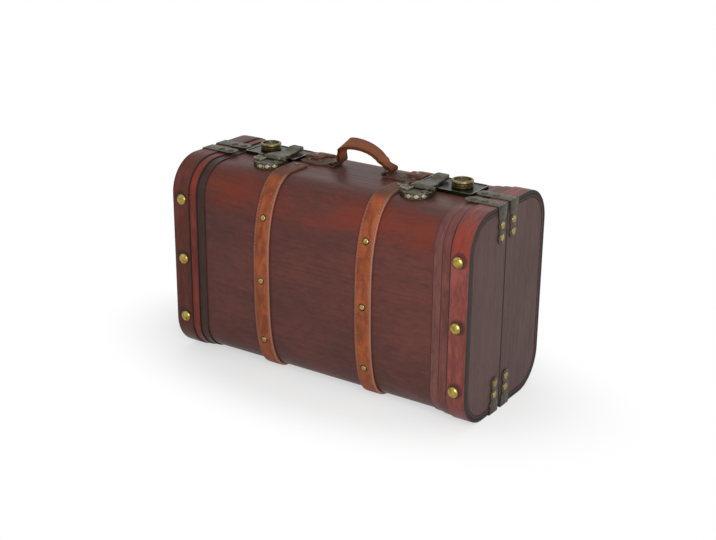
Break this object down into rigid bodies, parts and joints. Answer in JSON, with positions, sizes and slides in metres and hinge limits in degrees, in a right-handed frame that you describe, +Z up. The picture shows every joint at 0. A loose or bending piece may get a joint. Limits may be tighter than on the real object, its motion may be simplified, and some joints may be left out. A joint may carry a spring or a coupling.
{
  "type": "vintage wooden case with straps",
  "caption": "Wooden strapped case that stands on its hinged edge, with a lid leaf, leather carrying handle, slide-bolt latches, end bands and corner brackets.",
  "frame": {"origin": "on the floor under the middle of the standing case", "axes": "+X along the case's length, -Y out of the lid leaf's face, +Z up towards the handle"},
  "size_m": [0.445, 0.1978, 0.2974],
  "materials": {
    "field_wood": "satin varnish over dark cherry stain",
    "band_wood": "satin varnish over red stain",
    "end_wood": "dull varnish over dark stain",
    "lining_cloth": "glued woven lining",
    "strap_leather": "waxed tan leather",
    "aged_bronze": "antique bronze plate with worn edges",
    "aged_brass": "aged brass, polished on the high spots"
  },
  "bodies": {
    "back_leaf": {"back_shell": "field_wood", "back_lining": "lining_cloth", "back_end_panel_left": "end_wood", "back_end_panel_right": "end_wood", "back_band_left": "band_wood", "back_band_right": "band_wood", "back_bracket_top_left": "aged_bronze", "back_bracket_top_right": "aged_bronze", "back_bracket_bottom_left": "aged_bronze", "back_bracket_bottom_right": "aged_bronze", "back_hinge_leaf_left": "aged_bronze", "back_hinge_leaf_right": "aged_bronze", "hinge_pin_left": "aged_bronze", "hinge_pin_right": "aged_bronze", "back_nail_left_low": "aged_brass", "back_nail_left_middle": "aged_brass", "back_nail_left_high": "aged_brass", "back_nail_right_low": "aged_brass", "back_nail_right_middle": "aged_brass", "back_nail_right_high": "aged_brass", "back_strap_left": "strap_leather", "back_strap_right": "strap_leather", "latch_plate_left": "aged_bronze", "latch_plate_right": "aged_bronze", "handle_tab_left": "strap_leather", "handle_tab_right": "strap_leather"},
    "lid": {"front_shell": "field_wood", "front_lining": "lining_cloth", "front_end_panel_left": "end_wood", "front_end_panel_right": "end_wood", "front_band_left": "band_wood", "front_band_right": "band_wood", "front_bracket_top_left": "aged_bronze", "front_bracket_top_right": "aged_bronze", "front_bracket_bottom_left": "aged_bronze", "front_bracket_bottom_right": "aged_bronze", "front_hinge_leaf_left": "aged_bronze", "front_hinge_leaf_right": "aged_bronze", "front_nail_left_low": "aged_brass", "front_nail_left_middle": "aged_brass", "front_nail_left_high": "aged_brass", "front_nail_right_low": "aged_brass", "front_nail_right_middle": "aged_brass", "front_nail_right_high": "aged_brass", "front_strap_left": "strap_leather", "front_strap_right": "strap_leather", "catch_left": "aged_bronze", "catch_right": "aged_bronze", "catch_pin_left": "aged_bronze", "catch_pin_right": "aged_bronze"},
    "left_tongue": {"tongue_left": "aged_bronze"},
    "right_tongue": {"tongue_right": "aged_bronze"},
    "left_knob": {"knob_left": "aged_brass", "bolt_left": "aged_bronze"},
    "right_knob": {"knob_right": "aged_brass", "bolt_right": "aged_bronze"},
    "left_ring": {"handle_ring_left": "aged_bronze"},
    "right_ring": {"handle_ring_right": "aged_bronze"},
    "carry_handle": {"handle": "strap_leather"}
  },
  "joints": [
    {"name": "lid_hinge", "type": "hinge", "parent": "back_leaf", "child": "lid", "pos_m": [0, -0.007, 0.003], "axis": [1, 0, 0], "range_deg": [0, 100]},
    {"name": "left_tongue_lift", "type": "hinge", "parent": "lid", "child": "left_tongue", "pos_m": [-0.1106, -0.024, 0.2697], "axis": [1, 0, 0], "range_deg": [0, 80]},
    {"name": "right_tongue_lift", "type": "hinge", "parent": "lid", "child": "right_tongue", "pos_m": [0.1106, -0.024, 0.2697], "axis": [1, 0, 0], "range_deg": [0, 80]},
    {"name": "left_knob_slide", "type": "slide", "parent": "back_leaf", "child": "left_knob", "axis": [1, 0, 0], "range_m": [0, 0.006]},
    {"name": "right_knob_slide", "type": "slide", "parent": "back_leaf", "child": "right_knob", "axis": [-1, 0, 0], "range_m": [0, 0.006]},
    {"name": "left_ring_swing", "type": "hinge", "parent": "back_leaf", "child": "left_ring", "pos_m": [-0.038, 0.017, 0.2653], "axis": [0, 1, 0], "range_deg": [-100, 0]},
    {"name": "right_ring_swing", "type": "hinge", "parent": "back_leaf", "child": "right_ring", "pos_m": [0.038, 0.017, 0.2653], "axis": [0, 1, 0], "range_deg": [-100, 0]},
    {"name": "handle_swing", "type": "hinge", "parent": "left_ring", "child": "carry_handle", "pos_m": [-0.03072, 0.017, 0.27141], "axis": [0, 1, 0], "range_deg": [0, 100]}
  ],
  "couplings": [
    {"joint": "right_ring_swing", "follows": "left_ring_swing", "ratio": 1},
    {"joint": "handle_swing", "follows": "left_ring_swing", "ratio": -1}
  ]
}
